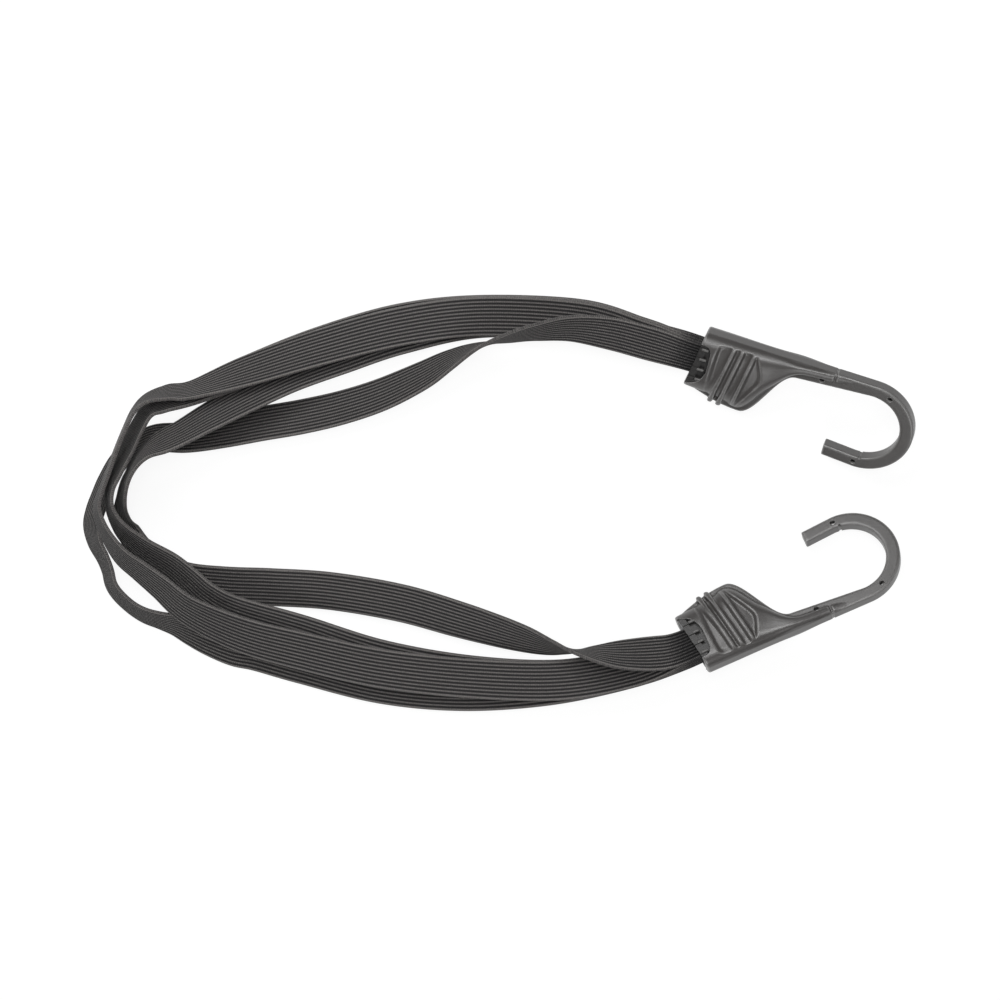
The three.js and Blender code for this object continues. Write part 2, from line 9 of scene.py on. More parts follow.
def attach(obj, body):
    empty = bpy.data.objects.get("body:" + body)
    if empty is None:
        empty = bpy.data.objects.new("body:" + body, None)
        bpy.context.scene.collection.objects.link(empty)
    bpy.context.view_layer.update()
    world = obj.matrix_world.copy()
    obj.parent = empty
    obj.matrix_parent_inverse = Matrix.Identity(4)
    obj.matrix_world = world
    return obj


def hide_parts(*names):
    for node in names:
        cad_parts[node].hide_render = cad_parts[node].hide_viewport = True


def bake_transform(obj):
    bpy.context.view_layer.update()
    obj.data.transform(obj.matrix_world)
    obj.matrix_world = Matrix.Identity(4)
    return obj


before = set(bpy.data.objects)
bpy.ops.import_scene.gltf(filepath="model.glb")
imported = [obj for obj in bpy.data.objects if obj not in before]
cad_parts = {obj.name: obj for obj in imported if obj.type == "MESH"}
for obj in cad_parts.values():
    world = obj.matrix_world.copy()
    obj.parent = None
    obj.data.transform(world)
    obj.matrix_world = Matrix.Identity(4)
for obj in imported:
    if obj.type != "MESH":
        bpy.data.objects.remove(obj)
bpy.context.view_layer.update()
scene = bpy.context.scene
scene.view_settings.view_transform = "Standard"

# Table and light: a pale matt board, far wider than the cord, under a soft lamp straight above, a
# lower one beyond the bend on hook_a's side and a weak fill on hook_b's side. The camera and glossy
# faces see the board nearly white, and it keeps the cord's shadow.
table_wide, table_drop, table_grey = 30, 0.0005, 0.6
table_glow, glow_share = 1.2, 0.75
room_light, room_seen = 0.12, 0.92
cord_middle_x = -0.13


class Wire:
    """A shader socket. Sums, differences and products of wires and numbers add Math nodes."""

    def __init__(self, tree, socket):
        self.tree, self.socket = tree, socket

    @staticmethod
    def fill(tree, node, sockets):
        """Set a node's sockets to values, or link wires into them."""
        for name, value in sockets.items():
            if isinstance(value, Wire):
                tree.links.new(value.socket, node.inputs[name])
            else:
                node.inputs[name].default_value = value

    @staticmethod
    def node(tree, kind, settings, sockets, output=0):
        """Add a node, set it up, fill its sockets and return one of its outputs."""
        node = tree.nodes.new("ShaderNode" + kind)
        for name, value in settings.items():
            if name == "stops":
                elements = node.color_ramp.elements
                while len(elements) < len(value):
                    elements.new(0.5)
                for element, (position, colour) in zip(elements, value):
                    element.position = position
                    element.color = (*colour, 1)
            else:
                setattr(node, name, value)
        Wire.fill(tree, node, sockets)
        return Wire(tree, node.outputs[output])

    def output(self, name):
        """Another output of the node that this one comes from."""
        return Wire(self.tree, self.socket.node.outputs[name])

    def math(self, operation, *others):
        sides = dict(enumerate((self, *others)))
        return Wire.node(self.tree, "Math", {"operation": operation}, sides)

    def __add__(self, other):
        return self.math("ADD", other)

    def __sub__(self, other):
        return self.math("SUBTRACT", other)

    def __rsub__(self, other):
        return Wire.node(self.tree, "Math", {"operation": "SUBTRACT"}, {0: other, 1: self})

    def __mul__(self, other):
        return self.math("MULTIPLY", other)

    __radd__, __rmul__ = __add__, __mul__


def new_material(name):
    """A material, its node tree and the shader in it."""
    material = bpy.data.materials.new(name)
    material.use_nodes = True
    return material, material.node_tree, material.node_tree.nodes["Principled BSDF"]


bpy.ops.mesh.primitive_plane_add(size=table_wide, location=(cord_middle_x, 0, -table_drop))
table = bpy.context.object
table.name = "table"
white, tree, shader = new_material("table_white")
Wire.fill(tree, shader, {"Base Color": (table_grey, table_grey, table_grey, 1), "Roughness": 0.9})
camera_ray = Wire.node(tree, "LightPath", {}, {}, "Is Camera Ray")
seen = Wire.node(tree, "MixShader", {}, {
    0: (camera_ray + camera_ray.output("Is Glossy Ray")) * glow_share,
    1: Wire(tree, shader.outputs["BSDF"]),
    2: Wire.node(tree, "Emission", {}, {"Strength": table_glow}),
})
Wire.fill(tree, tree.nodes["Material Output"], {"Surface": seen})
table.data.materials.append(white)

room = bpy.data.worlds.new("room")
room.use_nodes = True
tree = room.node_tree
camera_ray = Wire.node(tree, "LightPath", {}, {}, "Is Camera Ray")
Wire.fill(tree, tree.nodes["Background"], {
    "Color": (1, 1, 1, 1),
    "Strength": camera_ray * (room_seen - room_light) + room_light,
})
scene.world = room

for name, spot, size, watts in (
    ("overhead", (-0.13, 0.14, 1.5), 0.5, 7.8),
    ("soft_box", (-0.32, 0.45, 0.6), 0.45, 3.0),
    ("fill", (-0.05, -0.8, 0.6), 0.5, 2.8),
):
    lamp = bpy.data.lights.new(name, "AREA")
    lamp.size = size
    lamp.energy = watts
    holder = bpy.data.objects.new(name, lamp)
    holder.location = spot
    aim = Vector((cord_middle_x, 0, 0)) - Vector(spot)
    holder.rotation_euler = aim.to_track_quat("-Z", "Y").to_euler()
    scene.collection.objects.link(holder)

# Camera: straight above the middle of the cord, from a little over a metre, so that the hooks'
# mouths show a trace of perspective. The picture is 450 mm wide at the height of the bands.
lens = bpy.data.cameras.new("camera")
lens.lens = 95
lens.sensor_width = 36
camera = bpy.data.objects.new("camera", lens)
camera.location = (-0.1323, -0.0002, 1.2025)
scene.collection.objects.link(camera)
scene.camera = camera

# Elastic bands: four flat strips of rubber threads in a ribbed black cover, with a knit of slanting
# stitches on each rib, dark seams between the ribs and browner, paler selvedges, whose paleness is
# partly painted sheen on the rounded edges. The bands carry painted shade where they run into the
# hooks' mouths. Each is clamped in a socket at both ends and lies in a U.
millimetre = 0.001
band_thick, band_wide, neck_wide = 0.0016, 0.018, 0.016
ribs = 11
stitches_per_mm, stitch_slant = 1.25, 0.5


def fade(wire, low, high, top=1.0):
    """A mask that is 0 below low, top above high and rises smoothly between them."""
    return Wire.node(wire.tree, "MapRange", {"interpolation_type": "SMOOTHSTEP"}, {
        "Value": wire, "From Min": low, "From Max": high, "To Max": top,
    })


webbing, tree, shader = new_material("elastic_webbing")
weave_spot = Wire.node(tree, "UVMap", {"uv_map": "weave"}, {})
across = Wire.node(tree, "SeparateXYZ", {}, {"Vector": weave_spot}, "X")
along = across.output("Y")
crown = (across * math.pi).math("SINE").math("ABSOLUTE")
slant = (across * 2).math("PINGPONG", 1.0)
stitch = ((along * stitches_per_mm + slant * stitch_slant) * (2 * math.pi)).math("SINE")
grain = Wire.node(tree, "TexNoise", {}, {"Vector": weave_spot, "Scale": 3.0, "Detail": 4}, "Fac")
# Paler selvedges: partly the edge yarn, partly painted sheen on the rounded band edges.
selvedge_and_sheen = fade((across - ribs / 2).math("ABSOLUTE"), ribs / 2 - 0.6, ribs / 2 - 0.1)
# Painted shade: the bands are coloured darker where they run into the hooks' mouths.
gather = Wire.node(tree, "Attribute", {"attribute_name": "gather"}, {}, "Fac")
shade = gather * -0.3 + fade(crown, 0.5, 1.0, 0.46) + (grain - 0.5) * 0.9
shade = shade + stitch * 0.09 + selvedge_and_sheen * 0.35 + 0.2
cover_colours = (
    (0.0, (0.004, 0.004, 0.0043)),
    (0.4, (0.036, 0.0345, 0.0355)),
    (1.0, (0.27, 0.254, 0.243)),
)
relief = crown * 0.6 + stitch * 0.3 + grain * 0.5
Wire.fill(tree, shader, {
    "Base Color": Wire.node(tree, "ValToRGB", {"stops": cover_colours}, {"Fac": shade}),
    "Roughness": 0.85,
    "Specular IOR Level": 0.25,
    "Sheen Weight": 0.2,
    "Sheen Roughness": 0.45,
    "Normal": Wire.node(tree, "Bump", {}, {"Strength": 0.6, "Distance": 0.00025, "Height": relief}),
})

# The way of each band from hook_a to hook_b: points on its middle line, and the angle in degrees
# that it leans by there.
routes = [
    [
        (-.0693, .0728, .0122, -22), (-.0963, .0804, .011, -10), (-.1413, .0826, .0111, 0),
        (-.1773, .0781, .0115, 8), (-.2133, .0687, .012, 20), (-.2448, .0584, .0138, 35),
        (-.2696, .0494, .018, 60), (-.281, .0477, .021, 66), (-.2904, .0445, .0245, 75),
        (-.2957, .0393, .026, 78), (-.2997, .031, .0265, 79), (-.3035, .0217, .0265, 79),
        (-.3077, .0101, .0265, 78), (-.311, .0016, .0265, 76), (-.3119, -.0042, .0265, 74),
        (-.3104, -.0104, .0265, 71), (-.3068, -.0176, .0265, 67), (-.301, -.0254, .0267, 61),
        (-.2932, -.0316, .0263, 56), (-.284, -.039, .025, 50), (-.2715, -.0496, .022, 41),
        (-.2493, -.0605, .0152, 25), (-.2223, -.0681, .0125, 14), (-.1863, -.0762, .0115, 5),
        (-.1458, -.0807, .0115, 0), (-.1053, -.0816, .013, -8), (-.0738, -.0762, .0155, -20),
    ],
    [
        (-.0693, .0741, .0098, -22), (-.0963, .0818, .0085, -10), (-.1413, .0836, .0086, 0),
        (-.1773, .0799, .009, 8), (-.2133, .0701, .0093, 20), (-.2448, .0588, .0105, 36),
        (-.2696, .048, .015, 52), (-.2835, .0429, .0185, 61), (-.2901, .0397, .02, 64),
        (-.2948, .0325, .02, 63), (-.2992, .0227, .0205, 63), (-.3038, .0117, .0235, 68),
        (-.3064, .0045, .025, 71), (-.3065, -.0029, .0255, 73), (-.3039, -.0095, .0252, 69),
        (-.2993, -.0156, .0245, 61), (-.2903, -.023, .023, 52), (-.2801, -.0297, .0205, 45),
        (-.2728, -.0361, .0185, 41), (-.2645, -.0438, .0166, 36), (-.2518, -.0511, .0133, 27),
        (-.2223, -.0605, .0102, 16), (-.1863, -.0722, .009, 6), (-.1458, -.0794, .0089, 0),
        (-.1053, -.0812, .0104, -8), (-.0738, -.0753, .0129, -20),
    ],
    [
        (-.0693, .0732, .0068, -22), (-.0963, .0808, .0059, -10), (-.1413, .0822, .0061, 0),
        (-.1773, .0746, .0065, 8), (-.2043, .0651, .0067, 18), (-.2268, .0561, .009, 28),
        (-.2471, .0457, .015, 35), (-.2628, .0367, .0215, 42), (-.2741, .03, .0245, 48),
        (-.2831, .0255, .025, 52), (-.2907, .021, .026, 66), (-.2961, .0147, .025, 74),
        (-.3, .0066, .021, 75), (-.3022, -.0024, .0135, 70), (-.3015, -.0114, .0083, 52),
        (-.2961, -.0218, .0067, 42), (-.2876, -.0308, .0055, 32), (-.2741, -.0366, .0045, 24),
        (-.2561, -.0389, .004, 18), (-.2358, -.0398, .004, 15), (-.2088, -.0416, .004, 15),
        (-.1773, -.047, .0045, 15), (-.1503, -.0546, .0055, 22), (-.1233, -.0623, .01, 45),
        (-.1053, -.0668, .016, 75), (-.0918, -.0686, .02, 105), (-.0783, -.0695, .0212, 132),
        (-.0626, -.069, .0192, 149),
    ],
    [
        (-.0648, .0701, .0155, 145), (-.0828, .0746, .0178, 141), (-.1008, .0768, .019, 125),
        (-.1166, .075, .0215, 110), (-.1287, .0723, .021, 99), (-.1413, .0687, .0175, 82),
        (-.1548, .0628, .012, 60), (-.1683, .0556, .0085, 43), (-.1863, .0475, .0062, 32),
        (-.2043, .0417, .0053, 28), (-.2223, .0376, .005, 26), (-.2403, .0345, .005, 26),
        (-.2583, .0309, .0055, 30), (-.2741, .0282, .0063, 38), (-.2889, .0278, .0072, 46),
        (-.2984, .0229, .0082, 54), (-.305, .017, .0083, 55), (-.31, .0084, .0083, 55),
        (-.3131, .0012, .0083, 55), (-.3156, -.0056, .0083, 55), (-.3169, -.0119, .0086, 58),
        (-.3155, -.0194, .009, 63), (-.3119, -.0264, .0092, 66), (-.3096, -.0323, .0093, 67),
        (-.3082, -.0382, .0093, 67), (-.3051, -.0431, .0093, 67), (-.2992, -.0486, .0093, 67),
        (-.2929, -.0524, .0091, 65), (-.2859, -.0547, .0088, 62), (-.2785, -.0568, .0079, 53),
        (-.271, -.06, .0064, 39), (-.2626, -.0637, .0047, 26), (-.2523, -.0674, .0033, 15),
        (-.2426, -.0693, .0028, 11), (-.2223, -.075, .0028, 9), (-.1863, -.0839, .004, 8),
        (-.1503, -.087, .005, 2), (-.1143, -.0848, .0068, -6), (-.0828, -.0789, .009, -16),
    ],
]

# Each hook's place: the outer corner of its mouth, its turn, climb and roll in degrees, and the
# side of the spine that its grip lies on.
places = {
    "a": {"corner": (-.0393, .0761, .0214), "turn": -18.4, "pitch": 8.5, "roll": 36.5, "side": -1},
    "b": {"corner": (-.0392, -.0765, .0226), "turn": 23.6, "pitch": 0.8, "roll": 28.7, "side": 1},
}
for place in places.values():
    turn, pitch, roll = (math.radians(place[key]) for key in ("turn", "pitch", "roll"))
    flat = Vector((math.cos(turn), math.sin(turn), 0))
    x_axis = flat * math.cos(pitch) + Vector((0, 0, math.sin(pitch)))
    level = Vector((-math.sin(turn), math.cos(turn), 0)) * place["side"]
    fall = level.cross(x_axis) * place["side"]
    y_axis = level * math.cos(roll) + fall * math.sin(roll)
    axes = Matrix((x_axis, y_axis, x_axis.cross(y_axis))).transposed()
    place["matrix"] = Matrix.Translation(place["corner"]) @ axes.to_4x4()

# The order of the bands in each socket, the band that enters it turned over, the stops along the
# socket with the fan of the layers there, the sizes of ribs and gathers, and the reach of the
# painted shade that darkens the bands at the mouths.
stacks = {"a": [2, 1, 0, 3], "b": [3, 1, 0, 2]}
half_turned = {"a": 3, "b": 2}
layer_pitch, socket_middle = 0.00195, 0.0142
socket_stops = ((0.02, 1), (0.005, 1), (-0.009, 1.08))
span_steps, row_step = 60, 0.0012
edge_round, groove_deep, neck_groove = 0.0009, 0.00024, 0.0003
pucker_deep, pucker_waves, pucker_shift = 0.00022, 2300, 1.9
neck_end, neck_fade = 0.02, 0.025
mouth_shade_end, mouth_shade_fade = 0.034, 0.01


def clamp(value):
    return min(max(value, 0), 1)


def smooth(value):
    """A rise from 0 to 1 that starts and ends gently."""
    share = clamp(value)
    return share * share * (3 - 2 * share)


def cubic(p1, p2, m1, m2, t):
    """A point between p1 and p2 on the curve that leaves them along m1 and m2."""
    return (
        p1 * (2 * t**3 - 3 * t**2 + 1) + m1 * (t**3 - 2 * t**2 + t)
        + p2 * (3 * t**2 - 2 * t**3) + m2 * (t**3 - t**2)
    )


def with_ends(points):
    """The points, with one more at each end in line with the last two."""
    return [points[0] * 2 - points[1], *points, points[-1] * 2 - points[-2]]


def band_line(stations):
    """A smooth line through a band's stations, and how far along the band each point lies."""
    ends = with_ends(stations)
    line = []
    for p0, p1, p2, p3 in zip(ends, ends[1:], ends[2:], ends[3:]):
        for k in range(span_steps):
            line.append(cubic(p1, p2, (p2 - p0) / 2, (p3 - p1) / 2, k / span_steps))
    line.append(stations[-1])
    reach = [0.0]
    for p, q in zip(line, line[1:]):
        reach.append(reach[-1] + (q - p).to_3d().length)
    return line, reach


def band_axes(tangent, lean):
    """The directions across a band and out of its face where it leans by an angle."""
    width = Vector((-tangent.y, tangent.x, 0)).normalized() * math.cos(lean)
    width += Vector((0, 0, math.sin(lean)))
    width = (width - tangent * width.dot(tangent)).normalized()
    return width, tangent.cross(width)


def band_profile(run, spread):
    """A band's ribbed section as points across and up, drawn in at spread 0 and flat at 1."""
    half_width = (neck_wide + (band_wide - neck_wide) * spread) / 2
    groove = groove_deep + neck_groove * (1 - spread)
    top = []
    for k in range(1, 4 * ribs):
        side = half_width * (k / (2 * ribs) - 1)
        rib = k / 4 % 1 * 2 - 1
        edge = max(0.0, (abs(side) - half_width + edge_round) / edge_round)
        wave = (1 + math.sin(run * pucker_waves + pucker_shift * k)) / 2
        sunk = groove * rib * rib + pucker_deep * (1 - spread) * wave
        top.append((side, band_thick / 2 * math.sqrt(1 - edge * edge) - sunk * (1 - edge)))
    bottom = [(side, -up) for side, up in reversed(top)]
    return [(-half_width, 0.0), *top, (half_width, 0.0), *bottom]


def new_piece(bm, name, material=None):
    """An object at the origin with the mesh of bm."""
    mesh = bpy.data.meshes.new(name)
    bm.to_mesh(mesh)
    bm.free()
    if material:
        mesh.materials.append(material)
    piece = bpy.data.objects.new(name, mesh)
    scene.collection.objects.link(piece)
    return piece


# Each band is made in two halves that meet in the bend.
for index, route in enumerate(routes):
    inside = {}
    for end, place in places.items():
        height = place["side"] * (stacks[end].index(index) - (len(routes) - 1) / 2) * layer_pitch
        lean = 180 - place["roll"] if half_turned[end] == index else -place["roll"]
        inside[end] = [
            (*(place["matrix"] @ Vector((x, socket_middle, height * fan))), lean)
            for x, fan in socket_stops
        ]
    line, reach = band_line([Vector(s) for s in inside["a"] + route + inside["b"][::-1]])
    length = reach[-1]
    bend = reach[min(range(len(line)), key=lambda i: line[i].x)]

    for half, low, high in (("a", 0.0, bend), ("b", bend, length)):
        rows = round((high - low) / row_step)
        bm = bmesh.new()
        weave = bm.loops.layers.uv.new("weave")
        mouth_shade_layer = bm.verts.layers.float.new("gather")
        rings, centres, runs = [], [], []
        for row in range(rows + 1):
            run = low + (high - low) * row / rows
            k = min(bisect_left(reach, run, 1) - 1, len(reach) - 2)
            spot = line[k].lerp(line[k + 1], (run - reach[k]) / (reach[k + 1] - reach[k]))
            before, after = line[max(k - 1, 0)], line[min(k + 2, len(line) - 1)]
            width, face = band_axes((after - before).to_3d().normalized(), math.radians(spot.w))
            near_end = min(run, length - run)
            profile = band_profile(run, smooth((near_end - neck_end) / neck_fade))
            centre = spot.to_3d()
            rings.append([bm.verts.new(centre + width * side + face * up) for side, up in profile])
            for vert in rings[-1]:
                # Painted shade, full at the mouth and fading out along the band.
                vert[mouth_shade_layer] = clamp((mouth_shade_end - near_end) / mouth_shade_fade)
            centres.append(centre)
            runs.append(run)
        around = len(rings[0])
        for row in range(rows):
            ring, following = rings[row], rings[row + 1]
            v0, v1 = runs[row] / millimetre, runs[row + 1] / millimetre
            for k in range(around):
                n = (k + 1) % around
                quad = bm.faces.new((ring[k], following[k], following[n], ring[n]))
                quad.smooth = True
                u0, u1 = (ribs * (1 - abs(j / (around / 2) - 1)) for j in (k, k + 1))
                for loop, uv in zip(quad.loops, ((u0, v0), (u0, v1), (u1, v1), (u1, v0))):
                    loop[weave].uv = uv
        for rim in (rings[0], rings[-1][::-1]):
            bm.faces.new([bm.verts.new(vert.co) for vert in rim])
        band = new_piece(bm, f"band_{index + 1}_half_{half}", webbing)
        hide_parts(f"elastic_band_{index + 1}")
        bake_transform(band)
        mouth = centres[0] if half == "a" else centres[-1]
        high - low

# Hook bodies: one grey nylon moulding each, a flat J that swells into a grip with a sunk panel,
# three fins, windows over the ribbed jaws and a socket for the bands. Satin skin, with painted
# highlights on its sharp edges.
plastic, tree, shader = new_material("hook_plastic")
object_spot = Wire.node(tree, "TexCoord", {}, {}, "Object")
mottle = Wire.node(tree, "TexNoise", {}, {"Vector": object_spot, "Scale": 90, "Detail": 5}, "Fac")
fine = Wire.node(tree, "TexNoise", {}, {"Vector": object_spot, "Scale": 2600, "Detail": 2}, "Fac")
# Painted highlight: the marked sharp edges take the paler colours at the top of the ramp.
painted_highlight = Wire.node(tree, "Attribute", {"attribute_name": "edge"}, {}, "Fac")
shade = mottle * 0.3 + fine * 0.12 + painted_highlight * 0.6
nylon_colours = (
    (0.0, (0.05, 0.0465, 0.0445)),
    (0.35, (0.066, 0.062, 0.06)),
    (1.0, (0.3, 0.297, 0.293)),
)
Wire.fill(tree, shader, {
    "Base Color": Wire.node(tree, "ValToRGB", {"stops": nylon_colours}, {"Fac": shade}),
    "Roughness": mottle * 0.16 + fine * 0.12 + 0.2,
    "Specular IOR Level": 0.8,
    "Normal": Wire.node(tree, "Bump", {}, {"Strength": 0.25, "Distance": 0.00006, "Height": fine}),
})

# The flat J, in millimetres from the outer corner of the mouth, x along the hook.
bend_x, bend_y, bend_radius = 79.5, 22, 22
throat_x, throat_radius = 78.7, 16.4
tip_x, tip_low, tip_high = 64.2, 37.4, 43
shoulder, shoulder_pull = (43.9, 8.6), (35.78, 9.4)
hump, hump_pull = (22.8, 34.6), (30.92, 34.6)
mouth_low, mouth_high = (0.7, 0), (-3.5, 28.4)
arm_half, arm_round = 2.4, 0.8
bend_steps, throat_steps, shoulder_steps, hump_steps = 72, 60, 32, 16


def half_turn(x, y, radius, steps, way):
    """Points round the outside of half a turn, upwards with way -1 and downwards with way 1."""
    angles = [math.pi * k / steps for k in range(steps + 1)]
    return [(x + radius * math.sin(angle), y + way * radius * math.cos(angle)) for angle in angles]


def polyline(name, points, dimensions):
    """A curve of straight steps through flat points."""
    curve = bpy.data.curves.new(name, "CURVE")
    curve.dimensions = dimensions
    spline = curve.splines.new("POLY")
    spline.points.add(len(points) - 1)
    for point, (x, y) in zip(spline.points, points):
        point.co = (x, y, 0, 1)
    return curve


def finished_mesh(thing):
    """The mesh of an object with its curve sizes or modifiers worked in. The object is removed."""
    depsgraph = bpy.context.evaluated_depsgraph_get()
    mesh = bpy.data.meshes.new_from_object(thing.evaluated_get(depsgraph))
    bpy.data.objects.remove(thing)
    return mesh


def curve_mesh(curve):
    holder = bpy.data.objects.new(curve.name, curve)
    scene.collection.objects.link(holder)
    return finished_mesh(holder)


outline = [mouth_low, *half_turn(bend_x, bend_y, bend_radius, bend_steps, -1)]
outline += [(tip_x, tip_high), (tip_x, tip_low)]
outline += half_turn(throat_x, bend_y, throat_radius, throat_steps, 1)
for k in range(shoulder_steps + 1):
    t = k / shoulder_steps
    shares = ((1 - t)**3, 3 * t * (1 - t)**2, 3 * t * t * (1 - t), t**3)
    corners = (shoulder, shoulder_pull, hump_pull, hump)
    outline.append(tuple(sum(s * c[i] for s, c in zip(shares, corners)) for i in (0, 1)))
for k in range(1, hump_steps + 1):
    t = k / hump_steps
    outline.append((
        hump[0] * (1 - t) + mouth_high[0] * t * t,
        hump[1] * (1 - t * t) + mouth_high[1] * t * t,
    ))
arm = polyline("hook_arm", outline, "2D")
arm.splines[0].use_cyclic_u = True
arm.fill_mode = "BOTH"
arm.extrude = arm_half
arm.bevel_depth = arm_round
arm.bevel_resolution = 3
arm.offset = -arm_round
shell = bmesh.new()
shell.from_mesh(curve_mesh(arm))
bmesh.ops.remove_doubles(shell, verts=shell.verts, dist=1e-4)

# Its grip: places along the hook with the width towards the hump and half the thickness there.
grip_knots = with_ends([Vector(knot) for knot in (
    (-8.4, 28.4, 8.7), (11.4, 30.35, 8.7), (22.8, 32.3, 8.3), (33.35, 18.15, 6.87),
    (43.9, 6.3, 5.95), (58.95, 4.8, 4.0), (74, 2.8, 2.8),
)])
grip_steps, grip_sides = 60, 168
mouth_slope, mouth_fade, lip_round = -0.148, 12, 0.9
notch_x, notch_half, notch_fade, notch_deep = 61, 0.75, 0.3, 0.6
panel_left, panel_low, panel_deep, panel_slope, panel_sharp = 7, 1.5, 1.4, 1.8, 0.9
panel_knee, panel_heel, panel_crest = Vector((30.7, 13)), Vector((26, 1.5)), Vector((19.5, 34.6))
heel_side = (panel_knee - panel_heel).orthogonal().normalized()
crest_side = (panel_crest - panel_knee).orthogonal().normalized()
# Each fin: x at its foot, x at its head and the height of its head.
fins = ((14.7, 9.2, 33.5), (18.6, 13.2, 34.3), (24.1, 19.2, 32.3))
fin_half, fin_slope = 1.8, 1.45


def fin_x(fin, y):
    foot, head, top = fin
    return foot + (head - foot) * (y - panel_low) / (top - panel_low)


def panel_depth(x, y):
    """How far the grip's face is sunk: a panel with sloping walls, less the fins standing in it."""
    spot = Vector((x, y))
    walls = (
        x - panel_left, y - panel_low,
        (spot - panel_heel).dot(heel_side), (spot - panel_knee).dot(crest_side),
    )
    far = 40
    pull = sum(math.exp(-panel_sharp * min(max(wall, -far), far)) for wall in walls)
    sunk = panel_deep * smooth(-math.log(pull) / panel_sharp / panel_slope)
    for fin in fins:
        sunk *= 1 - smooth((fin_half - abs(x - fin_x(fin, y))) / fin_slope)
    return sunk


def swell(share):
    """Bulges a circle towards a rounded square."""
    return math.copysign(abs(share)**(2 / 3), share)


def loft(bm, rings):
    """Skins a row of rings and caps its ends."""
    for ring, following in zip(rings, rings[1:]):
        for k in range(len(ring)):
            n = (k + 1) % len(ring)
            bm.faces.new((ring[k], ring[n], following[n], following[k]))
    bm.faces.new(rings[0][::-1])
    bm.faces.new(rings[-1])


def to_metres(bm):
    bmesh.ops.scale(bm, verts=bm.verts, vec=(millimetre, millimetre, millimetre))


sections = []
for p0, p1, p2, p3 in zip(grip_knots, grip_knots[1:], grip_knots[2:], grip_knots[3:]):
    d0, d1, d2 = ((q - p).length**0.5 for p, q in ((p0, p1), (p1, p2), (p2, p3)))
    m1 = ((p1 - p0) / d0 - (p2 - p0) / (d0 + d1) + (p2 - p1) / d1) * d1
    m2 = ((p2 - p1) / d1 - (p3 - p1) / (d1 + d2) + (p3 - p2) / d2) * d1
    sections += [cubic(p1, p2, m1, m2, k / grip_steps) for k in range(grip_steps)]
sections = [section for section in sections if section.x >= 0]
rings = []
for x, wide, half in sections:
    slide = mouth_slope * max(0, 1 - x / mouth_fade)
    lip = max(lip_round - x, 0)
    inset = notch_deep * clamp((notch_half - abs(x - notch_x)) / notch_fade)
    inset += lip_round - math.sqrt(lip_round * lip_round - lip * lip)
    ring = []
    for k in range(grip_sides):
        angle = 2 * math.pi * k / grip_sides
        y = wide / 2 * (1 + swell(math.cos(angle)))
        z = (half - panel_depth(x, y) - inset) * swell(math.sin(angle))
        ring.append(shell.verts.new((x + slide * y, inset + y * (1 - 2 * inset / wide), z)))
    rings.append(ring)
loft(shell, rings)

# The two fins that end in bumps on the edge of the hump. They start flush with the grip.
bump_from, bump_steps, bump_rounding = 22, 24, 6
bump_lift, bump_flush, bump_curve = 4.1, 0.1, 1.5
bump_narrow, bump_grow, bump_close, bump_least = 0.4, 1.1, 0.8, 0.5
for fin in fins[:2]:
    rings = []
    for k in range(bump_steps + 1):
        t = k / bump_steps
        y = bump_from + (fin[2] - bump_from) * k / bump_steps
        x = fin_x(fin, y)
        near = min(sections, key=lambda section: abs(section.x - x))
        bow = min(abs(2 * y / (near.y + bump_flush + bump_lift * t**bump_curve) - 1), 1)
        z = max(near.z * (1 - bow**3)**(1 / 3), bump_least)
        close = max((k - bump_steps + bump_rounding) / bump_rounding, 0)
        w = (bump_narrow + bump_grow * t) * math.sqrt(1 - bump_close * close**2)
        corners = ((-w, -z), (w, -z), (w, z), (-w, z))
        rings.append([shell.verts.new((x + dx, y, dz)) for dx, dz in corners])
    loft(shell, rings)
bmesh.ops.recalc_face_normals(shell, faces=shell.faces)
to_metres(shell)
moulding = new_piece(shell, "hook_shell")
skin = moulding.modifiers.new("skin", "REMESH")
skin.mode = "VOXEL"
skin.voxel_size = 0.00036
relax = moulding.modifiers.new("relax", "SMOOTH")
relax.factor = 0.5
relax.iterations = 4

# What is cut from it: socket with a wider front, windows, pin holes, notches, the core's channel.
mouth_x, cut_half = -8.4, 8
socket_half, socket_end, socket_low, socket_high = 6.025, 23, 5.4, 23
front_end, front_low, front_high = 3.8, 2.9, 25.5
window_floor, window_top = 5.725, 12
window_in, window_low, window_round, window_middle, window_rise = 5, 4, 4, 14.2, 12.4
notch_wide, tip_notch_x, notch_cut = 1.2, 81.3, 1.6
pin_radius, pin_sides, pins = 1.2, 24, ((55.3, 5.3), (86.64, 4.18), (78.9, 41.2))
core_radius, core_bend, core_steps = 1.8, 19.2, 24
core_start, core_step, core_end = (30, 7.9), (9.9, -1.02), (69.2, 40.53)


def oblong(x0, y0, x1, y1):
    return [(x0, y0), (x1, y0), (x1, y1), (x0, y1)]


